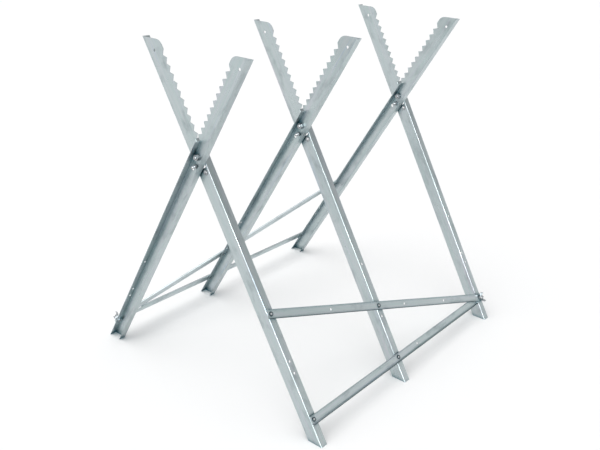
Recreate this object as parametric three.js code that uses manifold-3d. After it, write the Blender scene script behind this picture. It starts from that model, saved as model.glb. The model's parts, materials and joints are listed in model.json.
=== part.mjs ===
// Folding sawhorse for cutting logs. Three crosses of pressed-steel legs turn about one
// folding axis; low down on each side two bracing strips tie the three legs together.
//
// Millimetres, +Z up. The origin is on the ground in the middle of the footprint.
// X runs across the sawhorse, from the left legs to the right legs, and Y runs along
// the log, from the front cross to the rear one.
import * as THREE from "three";
import { mergeVertices, toCreasedNormals } from "three/addons/utils/BufferGeometryUtils.js";
import Module from "manifold-3d";

const wasm = await Module();
wasm.setup();

// --- Driving dimensions -------------------------------------------------------------

const LEG_ANGLE = THREE.MathUtils.degToRad(31); // each open leg, from the vertical
const FOLD_TRAVEL = THREE.MathUtils.degToRad(59); // from open to folded
const FOLD_AXIS_HEIGHT = 614;
const TOP_HEIGHT = 848;
const CROSSES = { front: -400, middle: -45, rear: 400 }; // where each cross stands along Y
const WEB_GAP = 2; // between the backs of the two legs of a cross
const CLEARANCE = 0.3; // left between pieces that bear on each other

// Leg pressing, measured across the leg from the fold axis. The front edge carries the
// teeth and faces outward; the back edge faces the foot of the other leg.
const LEG_SHEET = 1.5;
const LEG_BEND = 2.5; // outside radius of the folds
const FLANGE_DEPTH = 20;
const BACK_EDGE = -25;
const FRONT_EDGE = 11.5;
const FRONT_FLANGE_TOP = 39; // above the fold axis

// Teeth on the front edge of the upper arm, counted from the lowest one
const TOOTH_COUNT = 10;
const TOOTH_PITCH = 19.1;
const TOOTH_TIP = 24.5;
const TOOTH_ROOT = 15;
const LOWEST_TOOTH = 46; // its tip, above the fold axis
const HEAD_ROUNDING = 13; // length of edge that the rounded top corner takes up

// Fasteners
const PIVOT_BOLT = { radius: 4, flats: 13, head: 5.3, length: 17 };
const PIVOT_NUT = { flats: 13, height: 6.5 };
const PIVOT_WASHER = { outer: 8, thickness: 1.6 };
const PIVOT_SPACER = { outer: 9, thickness: WEB_GAP - 2 * CLEARANCE };
const PIN_RADIUS = 3; // stop bolts, bracing bolts and rivets
const STOP_BOLT = { headRadius: 4.5, head: 2.4, collarRadius: 4.6, collar: 0.9, length: 20 };
const STOP_NUT = { flats: 10, height: 5 };
const BRACE_BOLT = { radius: PIN_RADIUS, flats: 10, head: 4, length: 18 };
const BRACE_WASHER = { outer: 7, thickness: 1.4 };
const RIVET = { headRadius: 5.5, head: 1.9, dimpleRadius: 2.4, dimple: 1.2, tailRadius: 4.6, tail: 1.5 };
const EYELET = { bore: 2.8, barrel: 3.5, rimRadius: 6.8, rim: 0.6 };
const WING_HUB = { baseRadius: 6.5, topRadius: 5, height: 8 };
const WING = { reach: 15, rise: 16, thickness: 2.6 };

// Holes in the legs
const HANG_HOLE = { across: -4, up: 247, radius: 3.2 };
const EYELET_DROP = 37; // below the fold axis
const STOP_RADIUS = 24; // stop bolt, from the fold axis
const STOP_ANGLE = THREE.MathUtils.degToRad(16.5); // from the vertical, towards the left leg
const BRACE_HOLE_DEPTH = 10; // bracing holes, from the back of the web
const LOWER_HOLE = 653; // bracing holes, down the leg from the fold axis
const UPPER_HOLE = 386;

// Bracing strips: shallow channels, flat side to the legs and lips outward
const BRACE = { sheet: 1.2, bend: 2.4, width: 23, lip: 6 };
const BRACE_END = 10; // strip left beyond each end hole
const UPPER_LIP_CUT = 78; // lips of the lower strip, cut back past its bolted hole
const LOWER_LIP_CUT = 20;
// Spare holes of the strips, on both sides: distances along Y from the hole at the rear end
const LOWER_SPARES = [352];
const UPPER_SPARES = [174, 344, 615];

// --- Materials ------------------------------------------------------------------------

const legZinc = new THREE.MeshStandardMaterial({ color: 0xb9c3c6, roughness: 0.34, metalness: 0.9 });
const braceZinc = new THREE.MeshStandardMaterial({ color: 0xaab2b4, roughness: 0.4, metalness: 0.9 });
const brightZinc = new THREE.MeshStandardMaterial({ color: 0xc9cfd1, roughness: 0.26, metalness: 0.95 });
const rivetSteel = new THREE.MeshStandardMaterial({ color: 0x9aa3a6, roughness: 0.38, metalness: 0.9 });

// --- Where things are -------------------------------------------------------------------
// Each leg has its own axes: x outward, square to its front edge, y up the leg, and z
// towards the other leg of the cross, from the mid-plane between the two. The origin is on
// the fold axis. A depth is a distance back from the mid-plane, into the leg's channel.

const SIDES = {
  right: { turn: 0, boltedCross: "rear" },
  left: { turn: Math.PI, boltedCross: "front" },
};

const WEB_BACK = WEB_GAP / 2; // depths
const WEB_INSIDE = WEB_BACK + LEG_SHEET;
const HOLE_LINE = WEB_BACK + BRACE_HOLE_DEPTH;
const FLANGE_INSIDE = FRONT_EDGE - LEG_SHEET; // distances outward
const BEARING = FRONT_EDGE + CLEARANCE; // where a strip lies on the legs
const OVERLAP_LIFT = BRACE.sheet + 1.5 * CLEARANCE; // the upper strip lies on the lower one
const WASHER_SEAT = BEARING + OVERLAP_LIFT + BRACE.sheet + CLEARANCE;
const WING_SEAT = WASHER_SEAT + BRACE_WASHER.thickness + CLEARANCE;
const CROSS_SPAN = CROSSES.rear - CROSSES.front;

const TOWARDS_OTHER_LEG = -Math.PI / 2; // turns about y that lay a piece's x axis across the web
const INTO_CHANNEL = Math.PI / 2;

/** A group with the axes of one leg. */
function legAxes(side, cross) {
  const axes = new THREE.Group();
  axes.position.set(0, CROSSES[cross], FOLD_AXIS_HEIGHT);
  axes.rotation.set(Math.PI / 2, -LEG_ANGLE, SIDES[side].turn, "ZYX");
  return axes;
}

/** A named piece, set in the axes of its leg. */
function piece(name, geometry, material, [x, y, z] = [0, 0, 0], turn = 0) {
  const mesh = new THREE.Mesh(geometry, material);
  mesh.name = name;
  mesh.position.set(x, y, z);
  mesh.rotation.y = turn;
  return mesh;
}

/** How far along the strips a cross stands, from the cross they are bolted to. */
function alongStrips(side, cross) {
  return Math.abs(CROSSES[cross] - CROSSES[SIDES[side].boltedCross]);
}

/** How far down the leg the upper strip crosses it. */
function upperStripHole(side, cross) {
  return LOWER_HOLE - ((LOWER_HOLE - UPPER_HOLE) * alongStrips(side, cross)) / CROSS_SPAN;
}

/** How far the upper strip stands off the leg at a cross: it comes down to it along its run. */
function upperStripLift(side, cross) {
  return OVERLAP_LIFT * (1 - alongStrips(side, cross) / CROSS_SPAN);
}

// --- Solid helpers ------------------------------------------------------------------------

/** A closed geometry as a solid that can be joined and cut. */
function solid(geometry) {
  geometry.deleteAttribute("normal");
  geometry.deleteAttribute("uv");
  const merged = mergeVertices(geometry);
  const corners = merged.index.array;
  const triangles = [];
  for (let start = 0; start < corners.length; start += 3) {
    const [a, b, c] = corners.slice(start, start + 3);
    if (a !== b && b !== c && c !== a) triangles.push(a, b, c);
  }
  return new wasm.Manifold(
    new wasm.Mesh({
      numProp: 3,
      vertProperties: new Float32Array(merged.attributes.position.array),
      triVerts: new Uint32Array(triangles),
    }),
  );
}

/** The geometry of a finished solid, with its edges kept crisp. */
function finish(body) {
  const mesh = body.getMesh();
  const geometry = new THREE.BufferGeometry();
  geometry.setAttribute("position", new THREE.BufferAttribute(mesh.vertProperties, 3));
  geometry.setIndex(new THREE.BufferAttribute(mesh.triVerts, 1));
  return toCreasedNormals(geometry, Math.PI / 5);
}

function extrude(shape, depth, curveSegments = 3) {
  return new THREE.ExtrudeGeometry(shape, { depth, bevelEnabled: false, curveSegments });
}

/** A box between two corners. */
function boxBetween(low, high) {
  const [width, depth, height] = high.map((value, axis) => value - low[axis]);
  const [x, y, z] = high.map((value, axis) => (value + low[axis]) / 2);
  return new THREE.BoxGeometry(width, depth, height).translate(x, y, z);
}

/** A body turned about the X axis, from [x, radius] pairs listed towards +X on the outside. */
function turned(profile, segments = 20) {
  const points = profile.map(([x, radius]) => new THREE.Vector2(radius, x));
  return solid(new THREE.LatheGeometry(points, segments).rotateZ(-Math.PI / 2));
}

/** A plain rod about the X axis. */
function rod(from, to, radius) {
  return turned([[from, 0], [from, radius], [to, radius], [to, 0]]);
}

/** A flat ring about the X axis, standing on x = 0. */
function ring(inner, outer, thickness) {
  return turned([[0, inner], [0, outer], [thickness, outer], [thickness, inner], [0, inner]], 24);
}

/** A six-sided prism about the X axis, standing on x. */
function hexPrism(x, flats, height) {
  const corner = flats / 2 / Math.cos(Math.PI / 6);
  const prism = new THREE.CylinderGeometry(corner, corner, height, 6);
  return solid(prism.rotateZ(-Math.PI / 2).translate(x + height / 2, 0, 0));
}

/** A bolt along X: its six-sided head ends at x = 0 and its shank runs on from there. */
function hexBolt({ radius, flats, head, length }) {
  return finish(hexPrism(-head, flats, head).add(rod(-1, length, radius)));
}

/** A six-sided nut about the X axis, standing on x = 0. */
function hexNut({ flats, height }, boltRadius) {
  return finish(hexPrism(0, flats, height).subtract(rod(-1, height + 1, boltRadius + CLEARANCE)));
}

function washer({ outer, thickness }, boltRadius) {
  return finish(ring(boltRadius + CLEARANCE, outer, thickness));
}

/**
 * Section of a folded sheet: a flat web from left to right, standing on the base line, and
 * lips that rise from it. Without the right lip, the web ends flat on the right.
 */
function foldedSection({ left, right, base, height, sheet, bend, rightLip = true }) {
  const tip = base + height;
  const insideRadius = bend - sheet;
  const section = new THREE.Shape();
  section.moveTo(left, tip);
  section.absarc(left + bend, base + bend, bend, Math.PI, 1.5 * Math.PI, false);
  if (rightLip) {
    section.absarc(right - bend, base + bend, bend, 1.5 * Math.PI, 2 * Math.PI, false);
    section.lineTo(right, tip);
    section.lineTo(right - sheet, tip);
    section.absarc(right - bend, base + bend, insideRadius, 2 * Math.PI, 1.5 * Math.PI, true);
  } else {
    section.lineTo(right, base);
    section.lineTo(right, base + sheet);
  }
  section.absarc(left + bend, base + bend, insideRadius, 1.5 * Math.PI, Math.PI, true);
  section.lineTo(left + sheet, tip);
  section.closePath();
  return section;
}

// --- Legs ---------------------------------------------------------------------------------

/** How far up the leg a level cut at the given height crosses a line along the leg. */
function upAtHeight(height, outward) {
  const rise = height - FOLD_AXIS_HEIGHT;
  return (rise - outward * Math.sin(LEG_ANGLE)) / Math.cos(LEG_ANGLE);
}

/** A run of the leg's folded sheet, between two distances up the leg. */
function legRun(from, to, edges) {
  const sheet = { base: WEB_BACK, height: FLANGE_DEPTH, sheet: LEG_SHEET, bend: LEG_BEND };
  const section = foldedSection({ ...sheet, left: BACK_EDGE, ...edges });
  return solid(extrude(section, to - from).rotateX(-Math.PI / 2).translate(0, from, 0));
}

/** Outline of the whole leg seen square to its web: level ends, and the row of teeth. */
function legOutline() {
  const outline = new THREE.Shape();
  outline.moveTo(BACK_EDGE, upAtHeight(0, BACK_EDGE));
  outline.lineTo(FRONT_EDGE, upAtHeight(0, FRONT_EDGE));
  outline.lineTo(FRONT_EDGE, FRONT_FLANGE_TOP);
  outline.lineTo(TOOTH_TIP - (LOWEST_TOOTH - FRONT_FLANGE_TOP), FRONT_FLANGE_TOP);
  for (let tooth = 0; tooth < TOOTH_COUNT; tooth += 1) {
    const tip = LOWEST_TOOTH + tooth * TOOTH_PITCH;
    outline.lineTo(TOOTH_TIP, tip);
    outline.lineTo(TOOTH_ROOT, tip + TOOTH_PITCH / 2);
  }
  const corner = new THREE.Vector2(TOOTH_TIP, upAtHeight(TOP_HEIGHT, TOOTH_TIP));
  const back = new THREE.Vector2(BACK_EDGE, upAtHeight(TOP_HEIGHT, BACK_EDGE));
  const roundingEnd = back.clone().sub(corner).setLength(HEAD_ROUNDING).add(corner);
  outline.lineTo(TOOTH_TIP, LOWEST_TOOTH + TOOTH_COUNT * TOOTH_PITCH);
  outline.lineTo(TOOTH_TIP, corner.y - HEAD_ROUNDING);
  outline.quadraticCurveTo(corner.x, corner.y, roundingEnd.x, roundingEnd.y);
  outline.lineTo(back.x, back.y);
  outline.closePath();
  return outline;
}

/** A point round the fold axis, turned from the lower half of the leg towards its back. */
function aroundAxis(radius, angle) {
  return new THREE.Vector2(-radius * Math.sin(angle), -radius * Math.cos(angle));
}

/** The stop bolt's place on its own left leg. */
const STOP_PLACE = aroundAxis(STOP_RADIUS, LEG_ANGLE - STOP_ANGLE);

/** The curved slot of a right leg, in which the left leg's stop bolt travels. */
function stopSlot() {
  const openAngle = LEG_ANGLE + STOP_ANGLE;
  const foldedAngle = openAngle - FOLD_TRAVEL;
  const openEnd = aroundAxis(STOP_RADIUS, openAngle);
  const foldedEnd = aroundAxis(STOP_RADIUS, foldedAngle);
  const start = 1.5 * Math.PI - openAngle;
  const end = 1.5 * Math.PI - foldedAngle;
  const half = PIN_RADIUS + CLEARANCE;
  const slot = new THREE.Shape();
  slot.absarc(0, 0, STOP_RADIUS + half, start, end, false);
  slot.absarc(foldedEnd.x, foldedEnd.y, half, end, end + Math.PI, false);
  slot.absarc(0, 0, STOP_RADIUS - half, end, start, true);
  slot.absarc(openEnd.x, openEnd.y, half, start + Math.PI, start + 2 * Math.PI, false);
  return solid(extrude(slot, FLANGE_DEPTH, 5).translate(0, 0, -FLANGE_DEPTH));
}

/** A hole through the web at the given place. */
function webHole(radius, x, y) {
  const drill = new THREE.CylinderGeometry(radius, radius, FLANGE_DEPTH, 20);
  return solid(drill.rotateX(Math.PI / 2).translate(x, y, 0));
}

/** The holes for the strips, through the front flange: every leg has all four. */
function braceHoles() {
  const middleHoles = Object.keys(SIDES).map((side) => upperStripHole(side, "middle"));
  const drill = rod(FRONT_EDGE - LEG_BEND, FRONT_EDGE + LEG_BEND, PIN_RADIUS + CLEARANCE);
  return [UPPER_HOLE, ...middleHoles, LOWER_HOLE].map((down) => drill.translate([0, -down, -HOLE_LINE]));
}

/** One leg. Right legs have the stop slot, and left legs the hole for the stop bolt. */
function leg(side, cross) {
  const channel = legRun(upAtHeight(0, FRONT_EDGE), FRONT_FLANGE_TOP, { right: FRONT_EDGE });
  const arm = legRun(FRONT_FLANGE_TOP, TOP_HEIGHT, { right: 2 * TOOTH_TIP, rightLip: false });
  const trim = extrude(legOutline(), 2 * FLANGE_DEPTH, 5).translate(0, 0, -1.5 * FLANGE_DEPTH);
  const cutters = [
    webHole(PIVOT_BOLT.radius + CLEARANCE, 0, 0),
    webHole(HANG_HOLE.radius, HANG_HOLE.across, HANG_HOLE.up),
    webHole(EYELET.barrel + CLEARANCE, 0, -EYELET_DROP),
    side === "right" ? stopSlot() : webHole(PIN_RADIUS + CLEARANCE, STOP_PLACE.x, STOP_PLACE.y),
    ...braceHoles(),
  ];
  let body = channel.add(arm).intersect(solid(trim));
  cutters.forEach((cutter) => {
    body = body.subtract(cutter);
  });
  return piece(`${side}_leg_${cross}`, finish(body), legZinc);
}

// --- Fasteners at the crossings -------------------------------------------------------------

/** The bolt of the fold axis, in the right leg's axes, with its head in that leg's channel. */
function pivotBolt(cross) {
  const at = [0, 0, -WEB_INSIDE - CLEARANCE];
  return piece(`pivot_bolt_${cross}`, hexBolt(PIVOT_BOLT), brightZinc, at, TOWARDS_OTHER_LEG);
}

/** The ring that keeps the two webs of a cross apart. */
function pivotSpacer(cross) {
  const at = [0, 0, PIVOT_SPACER.thickness / 2];
  const geometry = washer(PIVOT_SPACER, PIVOT_BOLT.radius);
  return piece(`pivot_spacer_${cross}`, geometry, brightZinc, at, INTO_CHANNEL);
}

/** The washer in the left leg's channel, in that leg's axes. */
function pivotWasher(cross) {
  const at = [0, 0, -WEB_INSIDE - CLEARANCE];
  const geometry = washer(PIVOT_WASHER, PIVOT_BOLT.radius);
  return piece(`pivot_washer_${cross}`, geometry, brightZinc, at, INTO_CHANNEL);
}

function pivotNut(cross) {
  const at = [0, 0, -WEB_INSIDE - PIVOT_WASHER.thickness - 2 * CLEARANCE];
  const geometry = hexNut(PIVOT_NUT, PIVOT_BOLT.radius);
  return piece(`pivot_nut_${cross}`, geometry, brightZinc, at, INTO_CHANNEL);
}

/**
 * The bolt that stops the opening, in the left leg's axes. Its round head slides on the
 * inside of the right leg's web, and its collar rests on the back of the left leg's web,
 * which the nut clamps.
 */
function stopBolt(cross) {
  const { headRadius, head, collarRadius, collar, length } = STOP_BOLT;
  const collarEnd = WEB_INSIDE + WEB_BACK;
  const collarStart = collarEnd - collar;
  const body = turned([
    [-head, 0],
    [-head, headRadius - head / 2],
    [-head / 2, headRadius],
    [0, headRadius],
    [0, PIN_RADIUS],
    [collarStart, PIN_RADIUS],
    [collarStart, collarRadius],
    [collarEnd, collarRadius],
    [collarEnd, PIN_RADIUS],
    [length, PIN_RADIUS],
    [length, 0],
  ]);
  const at = [STOP_PLACE.x, STOP_PLACE.y, WEB_INSIDE + CLEARANCE];
  return piece(`stop_bolt_${cross}`, finish(body), brightZinc, at, INTO_CHANNEL);
}

function stopNut(cross) {
  const at = [STOP_PLACE.x, STOP_PLACE.y, -WEB_INSIDE - CLEARANCE];
  return piece(`stop_nut_${cross}`, hexNut(STOP_NUT, PIN_RADIUS), brightZinc, at, INTO_CHANNEL);
}

/** Rolled eyelet in a right leg. Its rims are thin enough for the two webs to pass. */
function eyelet(cross) {
  const { bore, barrel, rimRadius, rim } = EYELET;
  const length = LEG_SHEET + 2 * (CLEARANCE + rim);
  const body = turned([
    [0, bore],
    [0, rimRadius],
    [rim, rimRadius],
    [rim, barrel],
    [length - rim, barrel],
    [length - rim, rimRadius],
    [length, rimRadius],
    [length, bore],
    [0, bore],
  ]);
  const at = [0, -EYELET_DROP, CLEARANCE + rim - WEB_BACK];
  return piece(`eyelet_${cross}`, finish(body), rivetSteel, at, INTO_CHANNEL);
}

// --- Bracing strips -----------------------------------------------------------------------
// A strip runs along z from the hole at its bolted end, with x outward from the face that
// bears on the legs.

/** A strip with a hole at each cross and spare ones, stretched along a slope by a factor. */
function strip(side, spares, stretch) {
  const half = BRACE.width / 2;
  const section = foldedSection({ ...BRACE, left: -half, right: half, base: 0, height: BRACE.lip });
  const length = CROSS_SPAN * stretch + 2 * BRACE_END;
  const crossHoles = Object.keys(CROSSES).map((cross) => alongStrips(side, cross));
  const drill = rod(-BRACE.lip, BRACE.lip, PIN_RADIUS + CLEARANCE);
  let body = solid(extrude(section, length).rotateZ(-Math.PI / 2).translate(0, 0, -BRACE_END));
  [...crossHoles, ...spares].forEach((hole) => {
    body = body.subtract(drill.translate([0, 0, hole * stretch]));
  });
  return body;
}

/** The spare holes of a side's strip, from its bolted end. */
function sparesFromBolt(side, spares) {
  return side === "right" ? spares : spares.map((spare) => CROSS_SPAN - spare);
}

/** The level strip, its lips cut back to let the upper strip lie on it at the bolted end. */
function lowerStrip(side) {
  const start = -2 * BRACE_END;
  const cutUpperLip = boxBetween([BRACE.sheet, 0, start], [2 * BRACE.lip, BRACE.width, UPPER_LIP_CUT]);
  const cutLowerLip = boxBetween([BRACE.sheet, -BRACE.width, start], [2 * BRACE.lip, 1, LOWER_LIP_CUT]);
  const whole = strip(side, sparesFromBolt(side, LOWER_SPARES), 1);
  const body = whole.subtract(solid(cutUpperLip)).subtract(solid(cutLowerLip));
  const at = [BEARING, -LOWER_HOLE, -HOLE_LINE];
  return piece(`${side}_lower_strip`, finish(body), braceZinc, at);
}

/** The sloping strip, from the bolted hole up to the highest hole of the far leg. */
function upperStrip(side) {
  const run = new THREE.Vector3(-OVERLAP_LIFT, LOWER_HOLE - UPPER_HOLE, CROSS_SPAN);
  const spares = sparesFromBolt(side, UPPER_SPARES);
  const geometry = finish(strip(side, spares, run.length() / CROSS_SPAN));
  const at = [BEARING + OVERLAP_LIFT, -LOWER_HOLE, -HOLE_LINE];
  const mesh = piece(`${side}_upper_strip`, geometry, braceZinc, at);
  mesh.quaternion.setFromUnitVectors(new THREE.Vector3(0, 0, 1), run.normalize());
  return mesh;
}

// --- Fasteners of the strips ----------------------------------------------------------------

/** A rivet through the front flange and a strip that stands off it by the given lift. */
function rivet(name, down, lift) {
  const { headRadius, head, dimpleRadius, dimple, tailRadius, tail } = RIVET;
  const grip = LEG_SHEET + BRACE.sheet + 3 * CLEARANCE + lift;
  const body = turned([
    [-tail, 0],
    [-tail, tailRadius - tail / 2],
    [-tail / 2, tailRadius],
    [0, tailRadius],
    [0, PIN_RADIUS],
    [grip, PIN_RADIUS],
    [grip, headRadius],
    [grip + head / 2, headRadius],
    [grip + head, headRadius - head / 2],
    [grip + head, dimpleRadius],
    [grip + head - dimple, dimpleRadius - dimple / 2],
    [grip + head - dimple, 0],
  ]);
  return piece(name, finish(body), rivetSteel, [FLANGE_INSIDE - CLEARANCE, -down, -HOLE_LINE]);
}

function stripBolt(side) {
  const at = [FLANGE_INSIDE - CLEARANCE, -LOWER_HOLE, -HOLE_LINE];
  return piece(`${side}_strip_bolt`, hexBolt(BRACE_BOLT), brightZinc, at);
}

function stripWasher(side) {
  const at = [WASHER_SEAT, -LOWER_HOLE, -HOLE_LINE];
  return piece(`${side}_strip_washer`, washer(BRACE_WASHER, PIN_RADIUS), brightZinc, at);
}

/** One wing of a wing nut, rising along x away from the hub's seat. */
function wing() {
  const { reach, rise, thickness } = WING;
  const root = WING_HUB.topRadius - 0.5;
  const outline = new THREE.Shape();
  outline.moveTo(1.5, root);
  outline.quadraticCurveTo(rise * 0.25, reach * 0.75, rise * 0.55, reach);
  outline.quadraticCurveTo(rise, reach * 1.04, rise, reach * 0.82);
  outline.quadraticCurveTo(rise * 0.75, reach * 0.5, WING_HUB.height - 0.5, root);
  outline.closePath();
  return solid(extrude(outline, thickness, 4).translate(0, 0, -thickness / 2));
}

/** The wing nut that clamps the two strips to the last leg. */
function wingNut(side) {
  const { baseRadius, topRadius, height } = WING_HUB;
  const hub = turned([[0, 0], [0, baseRadius], [height, topRadius], [height, 0]]);
  const body = hub
    .add(wing())
    .add(wing().rotate([180, 0, 0]))
    .subtract(rod(-1, height + 1, PIN_RADIUS + CLEARANCE));
  return piece(`${side}_wing_nut`, finish(body), brightZinc, [WING_SEAT, -LOWER_HOLE, -HOLE_LINE]);
}

// --- Assembly -------------------------------------------------------------------------------

const sawhorse = new THREE.Group();

for (const side of Object.keys(SIDES)) {
  const { boltedCross } = SIDES[side];
  for (const cross of Object.keys(CROSSES)) {
    const axes = legAxes(side, cross);
    axes.add(leg(side, cross));
    if (side === "right") {
      axes.add(pivotBolt(cross), eyelet(cross));
    } else {
      axes.add(pivotSpacer(cross), pivotWasher(cross), pivotNut(cross), stopBolt(cross), stopNut(cross));
    }
    if (cross === boltedCross) {
      axes.add(lowerStrip(side), upperStrip(side));
      axes.add(stripBolt(side), stripWasher(side), wingNut(side));
    } else {
      const lift = upperStripLift(side, cross);
      axes.add(rivet(`${side}_lower_rivet_${cross}`, LOWER_HOLE, 0));
      axes.add(rivet(`${side}_upper_rivet_${cross}`, upperStripHole(side, cross), lift));
    }
    sawhorse.add(axes);
  }
}

export default sawhorse;
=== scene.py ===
"""Looks of the folding sawhorse: zinc-plated sheet steel and its hardware, on a pale studio floor.

Metres, in the frame's own axes: +X across the sawhorse, +Y along the log, +Z up.
"""

import json
import math

import bmesh
import bpy
from mathutils import Matrix, Vector

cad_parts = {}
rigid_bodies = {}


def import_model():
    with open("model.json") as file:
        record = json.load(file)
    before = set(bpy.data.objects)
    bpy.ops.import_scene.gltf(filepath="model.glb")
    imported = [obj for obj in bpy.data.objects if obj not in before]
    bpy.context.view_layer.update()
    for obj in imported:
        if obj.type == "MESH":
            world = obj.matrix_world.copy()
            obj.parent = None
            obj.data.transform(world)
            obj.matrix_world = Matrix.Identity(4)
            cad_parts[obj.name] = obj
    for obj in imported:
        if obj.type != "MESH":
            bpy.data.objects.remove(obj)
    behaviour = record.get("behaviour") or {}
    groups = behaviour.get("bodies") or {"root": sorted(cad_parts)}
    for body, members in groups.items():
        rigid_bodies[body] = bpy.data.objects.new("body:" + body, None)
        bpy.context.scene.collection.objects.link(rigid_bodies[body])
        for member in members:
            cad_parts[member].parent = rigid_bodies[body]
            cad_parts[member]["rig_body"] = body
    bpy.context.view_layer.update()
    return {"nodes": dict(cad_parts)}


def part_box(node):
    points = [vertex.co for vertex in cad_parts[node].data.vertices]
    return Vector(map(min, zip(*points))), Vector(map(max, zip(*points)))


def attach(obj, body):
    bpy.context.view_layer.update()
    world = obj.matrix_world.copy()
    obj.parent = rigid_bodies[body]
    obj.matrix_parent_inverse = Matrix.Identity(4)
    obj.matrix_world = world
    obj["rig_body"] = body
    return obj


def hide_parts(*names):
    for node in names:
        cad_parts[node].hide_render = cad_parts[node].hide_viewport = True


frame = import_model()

MM = 0.001

# --- The object's own directions ------------------------------------------------------------

LEG_LEAN = math.radians(31)  # each leg, from the vertical
CROSSES = ("front", "middle", "rear")
SIDES = {"right": 1, "left": -1}
BOLTED_CROSS = {"right": "rear", "left": "front"}
TOWARDS_REAR = Vector((0, 1, 0))


def outward(side):
    """Square to the front edges of a side's legs: the way its strip fasteners point."""
    return Vector((SIDES[side] * math.cos(LEG_LEAN), 0, math.sin(LEG_LEAN)))


def up_leg(side):
    """Along a side's legs, from foot to head."""
    return Vector((-SIDES[side] * math.sin(LEG_LEAN), 0, math.cos(LEG_LEAN)))


def strip_run(side, name):
    """Along a bracing strip, from its bolted end."""
    low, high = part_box(f"{side}_{name}_strip")
    run = Vector((0, high.y - low.y, 0)) * -SIDES[side]
    if name == "upper":
        level_low, level_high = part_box(f"{side}_lower_strip")
        rise = (high.z - low.z) - (level_high.z - level_low.z)
        run += up_leg(side) * rise / math.cos(LEG_LEAN)
    return run.normalized()


# --- Node helpers -----------------------------------------------------------------------------


class Graph:
    """A material's node tree, with short calls for the nodes that the finishes use."""

    def __init__(self, name):
        self.material = bpy.data.materials.new(name)
        self.material.use_nodes = True
        self.tree = self.material.node_tree
        self.shader = self.tree.nodes["Principled BSDF"]

    def node(self, kind, inputs=None, **settings):
        made = self.tree.nodes.new(kind)
        for key, value in settings.items():
            setattr(made, key, value)
        for key, value in (inputs or {}).items():
            self.feed(made.inputs[key], value)
        return made

    def feed(self, socket, value):
        if isinstance(value, bpy.types.NodeSocket):
            self.tree.links.new(value, socket)
        else:
            socket.default_value = value

    def coordinates(self, along, scale):
        """Object coordinates turned so that Z runs along the given direction, then scaled."""
        source = self.node("ShaderNodeTexCoord").outputs["Object"]
        turn = along.rotation_difference(Vector((0, 0, 1))).to_euler()
        turned = self.node("ShaderNodeMapping", {"Vector": source, "Rotation": turn})
        scaled = {"Vector": turned.outputs["Vector"], "Scale": scale}
        return self.node("ShaderNodeMapping", scaled).outputs["Vector"]

    def noise(self, vector, detail=4.0, roughness=0.55, distortion=0.0):
        inputs = {
            "Vector": vector,
            "Scale": 1.0,
            "Detail": detail,
            "Roughness": roughness,
            "Distortion": distortion,
        }
        return self.node("ShaderNodeTexNoise", inputs).outputs["Fac"]

    def range(self, value, low, high, to_low, to_high):
        inputs = {
            "Value": value,
            "From Min": low,
            "From Max": high,
            "To Min": to_low,
            "To Max": to_high,
        }
        return self.node("ShaderNodeMapRange", inputs).outputs["Result"]

    def ramp(self, value, stops):
        made = self.node("ShaderNodeValToRGB", {"Fac": value})
        ramp = made.color_ramp
        while len(ramp.elements) < len(stops):
            ramp.elements.new(0.5)
        for element, (place, colour) in zip(ramp.elements, stops):
            element.position = place
            element.color = colour
        return made.outputs["Color"]

    def mix(self, factor, first, second):
        made = self.node("ShaderNodeMix", data_type="RGBA")
        self.feed(made.inputs["Factor"], factor)
        colours = [socket for socket in made.inputs if socket.type == "RGBA"]
        self.feed(colours[0], first)
        self.feed(colours[1], second)
        return next(socket for socket in made.outputs if socket.type == "RGBA")

    def maths(self, operation, first, second=0.0):
        made = self.node("ShaderNodeMath", operation=operation)
        self.feed(made.inputs[0], first)
        self.feed(made.inputs[1], second)
        return made.outputs["Value"]

    def how_far_along(self, direction):
        """Distance of each point along a direction, in object coordinates."""
        position = self.node("ShaderNodeTexCoord").outputs["Object"]
        made = self.node("ShaderNodeVectorMath", operation="DOT_PRODUCT")
        self.feed(made.inputs[0], position)
        self.feed(made.inputs[1], direction)
        return made.outputs["Value"]

    def distance_from_z_axis(self):
        """Distance of each point from the object's own Z axis."""
        squares = [self.maths("POWER", self.how_far_along(axis), 2.0) for axis in ((1, 0, 0), (0, 1, 0))]
        return self.maths("SQRT", self.maths("ADD", *squares))


def grey(level, blue=0.0):
    """A neutral colour, cooled by the given amount."""
    return (level - blue, level, level + blue, 1)


# --- Zinc finishes --------------------------------------------------------------------------

ZINC_TINTS = [  # faint interference colours of passivated zinc, along the streaks
    (0.22, (0.38, 0.52, 0.61)),
    (0.40, (0.53, 0.58, 0.60)),
    (0.52, (0.46, 0.56, 0.56)),
    (0.64, (0.54, 0.575, 0.62)),
    (0.80, (0.59, 0.57, 0.59)),
]
FINE_STREAKS = (900, 900, 9)  # noise cells to the metre: across, across and along the streaks
BROAD_STREAKS = (120, 120, 3.2)
SHEET_CLOUDS = (38, 38, 16)
FASTENER_SPECKS = (420, 420, 420)
FASTENER_CLOUDS = (110, 110, 110)
BRUSHED_ZINC = grey(0.66, 0.01)  # along the finest streaks
PAINTED_CHANNEL_SHADE = (0.05, 0.16, 0.20, 1)  # painted shade, deep in a channel
HANDLING_MARKS = (0.29, 0.34, 0.36, 1)
SHEARED_EDGE_AND_SHADE = (0.035, 0.05, 0.055, 1)  # cut edges, painted near-black: partly bare steel, partly painted shade
RIVET_PAINTED_SHADE = (0.09, 0.12, 0.13, 1)  # painted shade over a rivet, all but the middle of its head and tail


def dimmed(colour, brightness):
    """A colour with its channels scaled."""
    return tuple(brightness * channel for channel in colour[:3]) + (1,)


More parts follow.
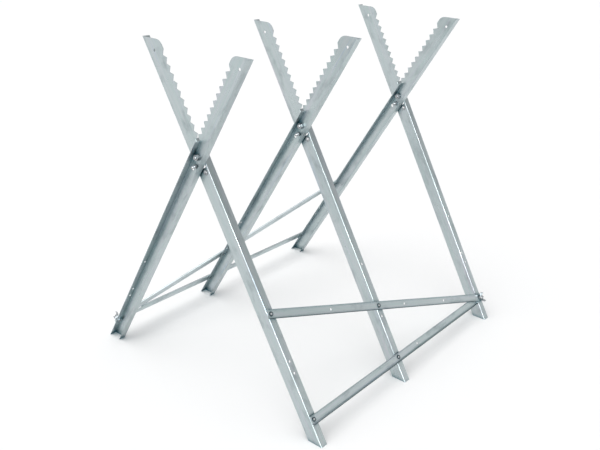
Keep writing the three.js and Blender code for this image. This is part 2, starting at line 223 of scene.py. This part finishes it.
def zinc_sheet(name, along, shade_reach, brightness, roughness, sheared=None):
    """Rolled and zinc-plated sheet. Its streaks run along the given direction, and painted shade
    darkens it where other metal stands within the shade's reach. Sheared is a direction, and how far
    along it the sheet's cut edges start, painted near-black: partly bare steel, partly painted shade."""
    graph = Graph(name)
    fine = graph.noise(graph.coordinates(along, FINE_STREAKS), detail=3)
    broad = graph.noise(graph.coordinates(along, BROAD_STREAKS), detail=5, distortion=0.4)
    cloudy = graph.noise(graph.coordinates(along, SHEET_CLOUDS), detail=6, roughness=0.65)
    tint = graph.ramp(broad, [(place, dimmed(colour, brightness)) for place, colour in ZINC_TINTS])
    brushed_bright = dimmed(BRUSHED_ZINC, brightness)
    streaked = graph.mix(graph.range(fine, 0.35, 0.65, 0.0, 0.35), tint, brushed_bright)
    marks = graph.range(cloudy, 0.52, 0.72, 0.0, 0.65)
    marked = graph.mix(marks, streaked, dimmed(HANDLING_MARKS, brightness))
    # painted shade: the sheet turns to the channel-shade colour where other metal stands near
    shade = graph.node("ShaderNodeAmbientOcclusion", {"Distance": shade_reach}, samples=6)
    open_to_light = graph.range(shade.outputs["AO"], 0.3, 0.85, 0.0, 1.0)
    coloured = graph.mix(open_to_light, PAINTED_CHANNEL_SHADE, marked)
    if sheared:
        direction, start = sheared
        # the lips' cut edges, painted near-black: partly bare steel, partly painted shade
        cut = graph.range(graph.how_far_along(direction), start - 0.1 * MM, start + 0.1 * MM, 0.0, 1.0)
        coloured = graph.mix(cut, coloured, SHEARED_EDGE_AND_SHADE)
    shader = graph.shader
    graph.feed(shader.inputs["Base Color"], coloured)
    shader.inputs["Metallic"].default_value = 0.92
    worn = graph.range(cloudy, 0.3, 0.75, roughness - 0.06, roughness + 0.16)
    brushed = graph.range(fine, 0.3, 0.7, -0.05, 0.07)
    graph.feed(shader.inputs["Roughness"], graph.maths("ADD", worn, brushed))
    relief = graph.maths("ADD", fine, graph.maths("MULTIPLY", cloudy, 1.5))
    bump = {"Height": relief, "Strength": 0.12, "Distance": 0.4 * MM}
    graph.feed(shader.inputs["Normal"], graph.node("ShaderNodeBump", bump).outputs["Normal"])
    return graph.material


def zinc_fastener(name, colour, roughness, highlight_within=None):
    """Bright plating on turned and pressed hardware, duller and darker where it is worn, with painted
    shade where other metal stands near. Given a radius, the colour stays only within it of the axis, as
    a painted highlight, and painted shade covers the rest."""
    graph = Graph(name)
    position = graph.node("ShaderNodeTexCoord").outputs["Object"]
    specks = graph.node("ShaderNodeMapping", {"Vector": position, "Scale": FASTENER_SPECKS})
    clouds = graph.node("ShaderNodeMapping", {"Vector": position, "Scale": FASTENER_CLOUDS})
    fine = graph.noise(specks.outputs["Vector"], detail=4)
    broad = graph.noise(clouds.outputs["Vector"], detail=5, roughness=0.6)
    plated = graph.mix(graph.range(broad, 0.42, 0.72, 0.0, 0.7), colour, dimmed(colour, 0.55))
    # painted highlight within the radius of the axis, painted shade outside it
    if highlight_within:
        edge = (highlight_within - 0.2 * MM, highlight_within + 0.2 * MM)
        shade_outside_highlight = graph.range(graph.distance_from_z_axis(), *edge, 0.0, 1.0)
        plated = graph.mix(shade_outside_highlight, plated, RIVET_PAINTED_SHADE)
    # painted shade: the hardware turns to the channel-shade colour where other metal stands within 4 mm
    shade = graph.node("ShaderNodeAmbientOcclusion", {"Distance": 4 * MM}, samples=6)
    open_to_light = graph.range(shade.outputs["AO"], 0.25, 0.8, 0.0, 1.0)
    graph.feed(graph.shader.inputs["Base Color"], graph.mix(open_to_light, PAINTED_CHANNEL_SHADE, plated))
    graph.shader.inputs["Metallic"].default_value = 0.95
    worn = graph.range(fine, 0.3, 0.7, roughness - 0.07, roughness + 0.12)
    graph.feed(graph.shader.inputs["Roughness"], worn)
    bump = {"Height": fine, "Strength": 0.15, "Distance": 0.15 * MM}
    graph.feed(graph.shader.inputs["Normal"], graph.node("ShaderNodeBump", bump).outputs["Normal"])
    return graph.material


# --- Pressed sheet parts: copies of the CAD meshes, with softened edges ---------------------------

CREASE = math.radians(32)  # faces that turn by more than this meet at an edge
LEG_EDGE_RADIUS = 0.3 * MM
STRIP_EDGE_RADIUS = 0.25 * MM
LEG_SHADE_REACH = 17 * MM  # how near other metal has to stand for painted shade on the sheet
STRIP_SHADE_REACH = 8 * MM
CUT_EDGE_BAND = 0.35 * MM  # how far down from its tip a strip's lip is painted near-black, as its cut edge and painted shade


def soften(node, edge_radius, material):
    """Puts a copy of a pressed CAD part in its place, with its finish and rounded edges."""
    source = frame["nodes"][node]
    mesh = source.data.copy()
    piece = bpy.data.objects.new(f"{node}_sheet", mesh)
    bpy.context.scene.collection.objects.link(piece)
    piece.matrix_world = source.matrix_world.copy()
    split_normals = mesh.attributes.get("custom_normal")
    if split_normals:
        mesh.attributes.remove(split_normals)
    mesh.shade_smooth()
    mesh.materials.clear()
    mesh.materials.append(material)
    weld = piece.modifiers.new("join_facets", "WELD")
    weld.merge_threshold = 0.005 * MM
    flatten = piece.modifiers.new("flat_faces", "DECIMATE")
    flatten.decimate_type = "DISSOLVE"
    flatten.angle_limit = math.radians(0.5)
    rounding = piece.modifiers.new("rounded_edges", "BEVEL")
    rounding.width = edge_radius
    rounding.segments = 2
    rounding.limit_method = "ANGLE"
    rounding.angle_limit = CREASE
    rounding.harden_normals = True
    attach(piece, source["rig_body"])
    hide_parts(node)


def lip_edges(node, side):
    """The direction that a strip's lips point in, and where along it their cut edges start."""
    mesh = frame["nodes"][node].data
    facing_out = [face for face in mesh.polygons if face.normal.dot(outward(side)) > 0.99]
    lips_point = max(facing_out, key=lambda face: face.area).normal.copy()
    tips = max(vertex.co.dot(lips_point) for vertex in mesh.vertices)
    return lips_point, tips - CUT_EDGE_BAND


def finish_sheet_parts():
    """Legs and bracing strips, with streaks that run along each piece."""
    for side in SIDES:
        up = up_leg(side)
        leg_zinc = zinc_sheet(f"zinc_legs_{side}", up, LEG_SHADE_REACH, brightness=0.94, roughness=0.3)
        for cross in CROSSES:
            soften(f"{side}_leg_{cross}", LEG_EDGE_RADIUS, leg_zinc)
        for name in ("lower", "upper"):
            run = strip_run(side, name)
            strip = f"{side}_{name}_strip"
            strip_zinc = zinc_sheet(
                f"zinc_{strip}",
                run,
                STRIP_SHADE_REACH,
                brightness=1.04,
                roughness=0.36,
                sheared=lip_edges(strip, side),
            )
            soften(strip, STRIP_EDGE_RADIUS, strip_zinc)


# --- Turned and six-sided hardware ----------------------------------------------------------------
# A surface about the z axis is a list of rings. A ring is a function of the angle round the
# axis that gives the radius and the height there.

CHAMFER_CIRCLE = 0.475  # radius where a hexagon's chamfer starts, as a share of its flats
CHAMFER_SLOPE = math.tan(math.radians(30))
THREAD_DEPTH = 0.54  # as a share of the pitch
RINGS_PER_THREAD = 8


def circle(radius, height):
    return lambda angle: (radius, height)


def hex_radius(flats, angle):
    """Distance from the axis to the wall of a hexagon with the given width across its flats."""
    sector = math.pi / 3
    return flats / 2 / math.cos((angle + sector / 2) % sector - sector / 2)


def hex_edge(flats, height, chamfer_sign):
    """Edge of a hexagon cut by a 30-degree chamfer that dips below (-1) or above (+1) the height."""
    inner = CHAMFER_CIRCLE * flats

    def ring(angle):
        radius = hex_radius(flats, angle)
        return radius, height + chamfer_sign * (radius - inner) * CHAMFER_SLOPE

    return ring


def arc(centre_radius, centre_height, radius, start, end, steps=5):
    """Rings along a rounded stretch of a profile, from one angle to the other, in degrees."""
    rings = []
    for step in range(steps + 1):
        angle = math.radians(start + (end - start) * step / steps)
        height = centre_height + radius * math.sin(angle)
        rings.append(circle(centre_radius + radius * math.cos(angle), height))
    return rings


def thread(radius, start, end, pitch):
    """Rings of a screw thread that ends in a chamfer."""
    depth = THREAD_DEPTH * pitch
    count = round((end - start) / pitch * RINGS_PER_THREAD)

    def ring(height):
        def at(angle):
            phase = (height / pitch - angle / (2 * math.pi)) % 1
            groove = depth * (1 - abs(2 * phase - 1))
            return min(radius - groove, radius - depth + (end - height)), height

        return at

    return [ring(start + (end - start) * step / count) for step in range(count + 1)]


def wrap(bm, rings, segments=48, closed=False):
    """Adds the surface through the rings. A ring of no radius is one point on the axis."""
    angles = [2 * math.pi * step / segments for step in range(segments)]
    loops = []
    for ring in rings:
        spots = [ring(angle) for angle in angles]
        if max(radius for radius, _ in spots) < 1e-6:
            loops.append([bm.verts.new((0, 0, spots[0][1]))] * segments)
            continue
        loops.append([
            bm.verts.new((radius * math.cos(angle), radius * math.sin(angle), height))
            for (radius, height), angle in zip(spots, angles)
        ])
    if closed:
        loops.append(loops[0])
    for lower, upper in zip(loops, loops[1:]):
        for step in range(segments):
            following = (step + 1) % segments
            corners = [lower[step], lower[following], upper[following], upper[step]]
            face = list(dict.fromkeys(corners))
            if len(face) > 2:
                bm.faces.new(face)


def mesh_from(bm, name, material):
    """A mesh that is smooth up to its creases. It uses the bmesh up."""
    bmesh.ops.recalc_face_normals(bm, faces=bm.faces)
    mesh = bpy.data.meshes.new(name)
    bm.to_mesh(mesh)
    bm.free()
    mesh.shade_smooth()
    mesh.set_sharp_from_angle(angle=CREASE)
    mesh.materials.append(material)
    return mesh


def span(node, axis):
    """Where a CAD fastener starts along its axis, as a point on the axis, and how long it is."""
    points = [vertex.co for vertex in frame["nodes"][node].data.vertices]
    along = [point.dot(axis) for point in points]
    across = axis.orthogonal().normalized()
    other = axis.cross(across)
    middle = Vector((0, 0, 0))
    for direction in (across, other):
        reach = [point.dot(direction) for point in points]
        middle += direction * (min(reach) + max(reach)) / 2
    return middle + axis * min(along), max(along) - min(along)


def stand_for(node, axis, build, turn=0.0):
    """Puts a detailed piece in the place of a CAD fastener. build(name, length) makes its mesh."""
    start, length = span(node, axis)
    piece = bpy.data.objects.new(f"{node}_detail", build(f"{node}_detail", length))
    bpy.context.scene.collection.objects.link(piece)
    facing = Vector((0, 0, 1)).rotation_difference(axis).to_matrix().to_4x4()
    piece.matrix_world = Matrix.Translation(start) @ facing @ Matrix.Rotation(turn, 4, "Z")
    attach(piece, frame["nodes"][node]["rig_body"])
    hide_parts(node)
    return piece


def hex_bolt(flats, head, radius, pitch, thread_from, material):
    """A bolt with a six-sided head at the start of its axis."""

    def build(name, length):
        bm = bmesh.new()
        rings = [
            circle(0, 0.25 * MM),
            circle(0.36 * flats, 0.25 * MM),
            circle(0.4 * flats, 0),
            circle(CHAMFER_CIRCLE * flats, 0),
            hex_edge(flats, 0, 1),
            lambda angle: (hex_radius(flats, angle), head),
            circle(radius, head),
            circle(radius, thread_from - 0.5 * MM),
            *thread(radius, thread_from, length, pitch),
            circle(0, length),
        ]
        wrap(bm, rings, 72)
        return mesh_from(bm, name, material)

    return build


def hex_nut(flats, radius, material):
    """A six-sided nut with both faces chamfered and a countersunk bore."""

    def build(name, length):
        bm = bmesh.new()
        lead_in = 0.5 * MM
        rings = [
            circle(radius, lead_in),
            circle(radius + lead_in, 0),
            circle(CHAMFER_CIRCLE * flats, 0),
            hex_edge(flats, 0, 1),
            hex_edge(flats, length, -1),
            circle(CHAMFER_CIRCLE * flats, length),
            circle(radius + lead_in, length),
            circle(radius, length - lead_in),
        ]
        wrap(bm, rings, 72, closed=True)
        return mesh_from(bm, name, material)

    return build


def washer(inner, outer, material):
    """A flat ring with its outer corners rounded."""

    def build(name, length):
        bm = bmesh.new()
        edge = 0.2 * MM
        rings = [
            circle(inner, length),
            circle(inner, 0),
            *arc(outer - edge, edge, edge, -90, 0, 3),
            *arc(outer - edge, length - edge, edge, 0, 90, 3),
        ]
        wrap(bm, rings, closed=True)
        return mesh_from(bm, name, material)

    return build


def stop_bolt(head_radius, head, radius, collar_radius, collar_span, pitch, material):
    """A round-headed bolt with a thin collar part of the way along it."""
    collar_start, collar_end = collar_span
    thread_from = collar_end + 2.2 * MM
    rounding = 0.6 * head

    def build(name, length):
        bm = bmesh.new()
        rings = [
            circle(0, 0),
            *arc(head_radius - rounding, rounding, rounding, -90, 0),
            circle(head_radius, head),
            circle(radius, head),
            circle(radius, collar_start),
            circle(collar_radius, collar_start),
            circle(collar_radius, collar_end),
            circle(radius, collar_end),
            circle(radius, thread_from - 0.4 * MM),
            *thread(radius, thread_from, length, pitch),
            circle(0, length),
        ]
        wrap(bm, rings, 40)
        return mesh_from(bm, name, material)

    return build


def rivet(radius, head_radius, head, tail_radius, tail, material):
    """A semi-tubular rivet: low dome at the tail, and a rolled ring round a dimple at the head."""

    def build(name, length):
        bm = bmesh.new()
        roll = head / 2
        ring_middle = head_radius - roll
        rings = [
            circle(0, 0),
            *arc(tail_radius - tail, tail, tail, -90, 0),
            circle(radius, tail),
            circle(radius, length - head),
            circle(head_radius - 0.2 * MM, length - head),
            *arc(ring_middle, length - roll, roll, -40, 150, 8),
            circle(0.42 * head_radius, length - 0.75 * head),
            circle(0.22 * head_radius, length - 0.9 * head),
            circle(0, length - 0.9 * head),
        ]
        wrap(bm, rings)
        return mesh_from(bm, name, material)

    return build


def eyelet(bore, rim_radius, rim, material):
    """A tube with a rounded rim at each end, and its bore rounded at both ends."""

    barrel = bore + 0.7 * MM

    def build(name, length):
        bm = bmesh.new()
        half = rim / 2
        mouth = 0.5 * MM
        rings = [
            *arc(rim_radius - half, half, half, -90, 90, 6),
            circle(barrel, rim),
            circle(barrel, length - rim),
            *arc(rim_radius - half, length - half, half, -90, 90, 6),
            *arc(bore + mouth, length - mouth, mouth, 90, 180, 3),
            *arc(bore + mouth, mouth, mouth, 180, 270, 3),
        ]
        wrap(bm, rings, closed=True)
        return mesh_from(bm, name, material)

    return build


def bezier(start, control, end, steps=8):
    """Points of a curve with one control point, without its last point."""
    points = []
    for step in range(steps):
        t = step / steps
        weights = ((1 - t) ** 2, 2 * t * (1 - t), t * t)
        points.append(tuple(
            sum(weight * value for weight, value in zip(weights, values))
            for values in zip(start, control, end)
        ))
    return points


def wing_nut(hub_base, hub_top, hub_height, reach, thickness, radius, material):
    """A wing nut: a tapered hub and two flared wings, with their edges still square."""

    def build(name, length):
        bm = bmesh.new()
        hub = [
            circle(radius, 0.4 * MM),
            circle(radius + 0.4 * MM, 0),
            circle(hub_base - 0.5 * MM, 0),
            circle(hub_base, 0.5 * MM),
            circle(0.5 * (hub_base + hub_top), 0.55 * hub_height),
            circle(hub_top, hub_height - 0.6 * MM),
            circle(hub_top - 0.6 * MM, hub_height),
            circle(radius + 0.4 * MM, hub_height),
            circle(radius, hub_height - 0.4 * MM),
        ]
        wrap(bm, hub, closed=True)
        root = hub_top - 0.8 * MM
        waist = (root, hub_height - 0.8 * MM)
        outline = [
            *bezier((root, 1.2 * MM), (0.72 * reach, 0.22 * length), (reach, 0.55 * length)),
            *bezier((reach, 0.55 * length), (1.04 * reach, length), (0.82 * reach, length)),
            *bezier((0.82 * reach, length), (0.5 * reach, 0.75 * length), waist),
            waist,
        ]
        for sign in (1, -1):
            faces = []
            for y in (-thickness / 2, thickness / 2):
                corners = [bm.verts.new((sign * across, y, height)) for across, height in outline]
                faces.append(corners)
                bm.faces.new(corners)
            for step in range(len(outline)):
                following = (step + 1) % len(outline)
                bm.faces.new([faces[0][step], faces[0][following], faces[1][following], faces[1][step]])
        return mesh_from(bm, name, material)

    return build


def add_hardware():
    """Detailed bolts, nuts, washers, rivets and eyelets, each in its CAD piece's place."""
    bright = zinc_fastener("zinc_bright", grey(0.46, 0.015), 0.28)
    plain = zinc_fastener("zinc_plain", grey(0.42, 0.015), 0.34)
    # rivets: a painted highlight in the middle of each head and tail, painted shade over the rest
    riveted = zinc_fastener("zinc_riveted", grey(0.80, 0.01), 0.3, highlight_within=2.5 * MM)
    pivot_bolt = hex_bolt(
        flats=13 * MM, head=5.3 * MM, radius=4 * MM, pitch=1.25 * MM, thread_from=8 * MM, material=bright
    )
    strip_bolt = hex_bolt(
        flats=10 * MM, head=4 * MM, radius=3 * MM, pitch=1.0 * MM, thread_from=7 * MM, material=bright
    )
    stop = stop_bolt(
        head_radius=4.5 * MM,
        head=2.4 * MM,
        radius=3 * MM,
        collar_radius=4.6 * MM,
        collar_span=(5 * MM, 5.9 * MM),
        pitch=1.0 * MM,
        material=bright,
    )
    ring_rivet = rivet(
        radius=3 * MM,
        head_radius=5.5 * MM,
        head=1.9 * MM,
        tail_radius=4.6 * MM,
        tail=1.5 * MM,
        material=riveted,
    )
    spacer = washer(inner=4.2 * MM, outer=9 * MM, material=plain)
    pivot_washer = washer(inner=4.2 * MM, outer=8 * MM, material=plain)
    strip_washer = washer(inner=3.2 * MM, outer=7 * MM, material=plain)
    pivot_nut = hex_nut(flats=13 * MM, radius=4 * MM, material=bright)
    stop_nut = hex_nut(flats=10 * MM, radius=3 * MM, material=bright)
    leg_eyelet = eyelet(bore=2.8 * MM, rim_radius=6.8 * MM, rim=0.6 * MM, material=bright)
    towards_front = -TOWARDS_REAR
    for index, cross in enumerate(CROSSES):
        turn = math.radians(17 + 23 * index)  # no two crosses were tightened alike
        stand_for(f"pivot_bolt_{cross}", towards_front, pivot_bolt, turn)
        stand_for(f"pivot_spacer_{cross}", towards_front, spacer)
        stand_for(f"pivot_washer_{cross}", towards_front, pivot_washer)
        stand_for(f"pivot_nut_{cross}", towards_front, pivot_nut, 2 * turn)
        stand_for(f"stop_bolt_{cross}", towards_front, stop)
        stand_for(f"stop_nut_{cross}", towards_front, stop_nut, 3 * turn)
        stand_for(f"eyelet_{cross}", towards_front, leg_eyelet)
    wings = wing_nut(
        hub_base=6.5 * MM,
        hub_top=5 * MM,
        hub_height=8 * MM,
        reach=15 * MM,
        thickness=2.6 * MM,
        radius=3 * MM,
        material=bright,
    )
    for side in SIDES:
        axis = outward(side)
        stand_for(f"{side}_strip_bolt", axis, strip_bolt, math.radians(12))
        stand_for(f"{side}_strip_washer", axis, strip_washer)
        nut = stand_for(f"{side}_wing_nut", axis, wings)
        rounding = nut.modifiers.new("rounded_edges", "BEVEL")
        rounding.width = 0.9 * MM
        rounding.segments = 3
        rounding.limit_method = "ANGLE"
        rounding.angle_limit = math.radians(50)
        for cross in CROSSES:
            if cross != BOLTED_CROSS[side]:
                stand_for(f"{side}_lower_rivet_{cross}", axis, ring_rivet)
                stand_for(f"{side}_upper_rivet_{cross}", axis, ring_rivet)


# --- Studio ------------------------------------------------------------------------------------

PIVOT = Vector((0, -0.044, 0.614))  # on the fold axis, at the middle cross
CAMERA_FROM_PIVOT = Vector((1.178, -1.429, 0.5255))
CAMERA_AZIMUTH = math.radians(39.35)
CAMERA_ELEVATION = math.radians(28.99)
CAMERA_ROLL = math.radians(1.85)
CAMERA_LENS = 44.26
CAMERA_SHIFT = (0.0025, 0.121)


def add_camera():
    data = bpy.data.cameras.new("camera")
    data.lens = CAMERA_LENS
    data.sensor_width = 36
    data.shift_x, data.shift_y = CAMERA_SHIFT
    camera = bpy.data.objects.new("camera", data)
    bpy.context.scene.collection.objects.link(camera)
    camera.matrix_world = (
        Matrix.Translation(PIVOT + CAMERA_FROM_PIVOT)
        @ Matrix.Rotation(CAMERA_AZIMUTH, 4, "Z")
        @ Matrix.Rotation(math.pi / 2 - CAMERA_ELEVATION, 4, "X")
        @ Matrix.Rotation(CAMERA_ROLL, 4, "Z")
    )
    bpy.context.scene.camera = camera


def add_lamp(name, azimuth, elevation, width, strength):
    """Soft light from far off, from the given direction. Azimuth 0 is the front and 90 the right."""
    data = bpy.data.lights.new(name, "SUN")
    data.angle = math.radians(width)
    data.energy = strength
    light = bpy.data.objects.new(name, data)
    bpy.context.scene.collection.objects.link(light)
    turn = Matrix.Rotation(math.radians(azimuth), 4, "Z")
    light.matrix_world = turn @ Matrix.Rotation(math.radians(90 - elevation), 4, "X")
    return light


def add_floor():
    half = 60.0
    bm = bmesh.new()
    corners = [(-half, -half, 0), (half, -half, 0), (half, half, 0), (-half, half, 0)]
    bm.faces.new([bm.verts.new(corner) for corner in corners])
    graph = Graph("studio_floor")
    graph.shader.inputs["Base Color"].default_value = grey(0.93)
    graph.shader.inputs["Roughness"].default_value = 0.8
    graph.shader.inputs["Specular IOR Level"].default_value = 0.1
    floor = bpy.data.objects.new("floor", mesh_from(bm, "floor", graph.material))
    bpy.context.scene.collection.objects.link(floor)


def add_sky():
    """Pale surroundings: white at the horizon, like the floor, with a dim band higher up that the
    metal reflects, and bright overhead."""
    world = bpy.data.worlds.new("studio")
    world.use_nodes = True
    bpy.context.scene.world = world
    tree = world.node_tree
    coordinates = tree.nodes.new("ShaderNodeTexCoord")
    parts = tree.nodes.new("ShaderNodeSeparateXYZ")
    ramp = tree.nodes.new("ShaderNodeValToRGB")
    background = tree.nodes["Background"]
    tree.links.new(coordinates.outputs["Generated"], parts.inputs["Vector"])
    tree.links.new(parts.outputs["Z"], ramp.inputs["Fac"])
    tree.links.new(ramp.outputs["Color"], background.inputs["Color"])
    low, high = ramp.color_ramp.elements
    low.position, low.color = 0.0, grey(1.0)
    high.position, high.color = 0.9, grey(0.9)
    above_horizon = ramp.color_ramp.elements.new(0.2)
    above_horizon.color = grey(0.86)
    dim_band = ramp.color_ramp.elements.new(0.46)
    dim_band.color = grey(0.26, 0.01)


finish_sheet_parts()
add_hardware()
add_camera()
add_floor()
add_sky()
# It has no part in diffuse light: reflections of it draw the bright lines along the folds
bend_light = add_lamp("bend_light", azimuth=42, elevation=14, width=22, strength=1.8)
bend_light.visible_diffuse = False
add_lamp("overhead", azimuth=-30, elevation=68, width=60, strength=1.5)
bpy.context.scene.view_settings.view_transform = "Standard"
